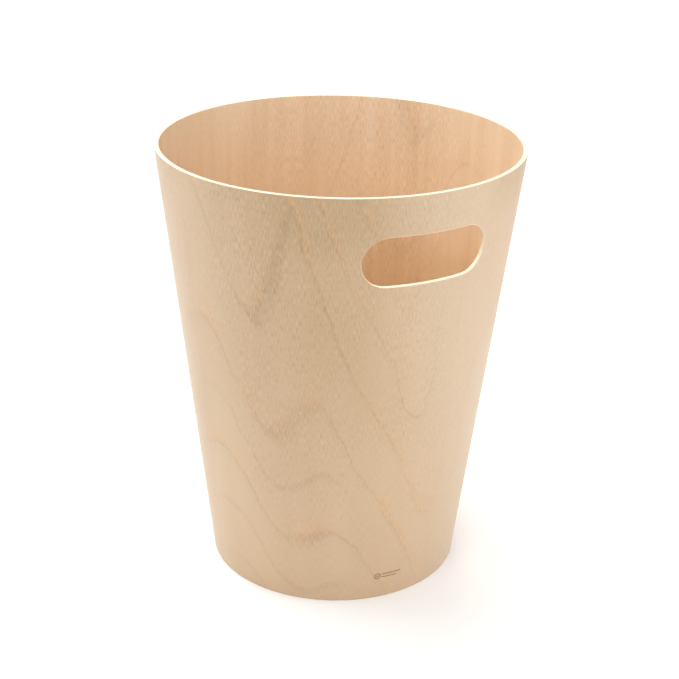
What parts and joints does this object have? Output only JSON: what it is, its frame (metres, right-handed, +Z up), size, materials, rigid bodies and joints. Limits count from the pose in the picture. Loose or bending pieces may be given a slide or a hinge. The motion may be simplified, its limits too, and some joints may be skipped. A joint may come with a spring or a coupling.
{
  "type": "wastebasket",
  "caption": "Open tapered wastebasket of thin moulded plywood, with a round-ended hand hole through the wall below the rim and a recessed round base board.",
  "frame": {"origin": "on the basket's axis, at floor level", "axes": "+Z up along the basket's axis, -Y through the middle of the hand hole, +X to the right of someone facing the hand hole"},
  "size_m": [0.229, 0.229, 0.28],
  "materials": {
    "outer_beech": "satin",
    "inner_beech": "satin",
    "crossband_beech": "matte",
    "core_beech": "matte",
    "base_beech": "satin",
    "wood_glue": "satin"
  },
  "bodies": {
    "root": {"outer_face_veneer": "outer_beech", "outer_crossband": "crossband_beech", "middle_veneer": "core_beech", "inner_crossband": "crossband_beech", "inner_face_veneer": "inner_beech", "base_bottom_veneer": "base_beech", "base_core": "core_beech", "base_top_veneer": "base_beech", "lower_glue_bead": "wood_glue", "upper_glue_bead": "wood_glue"}
  },
  "joints": []
}
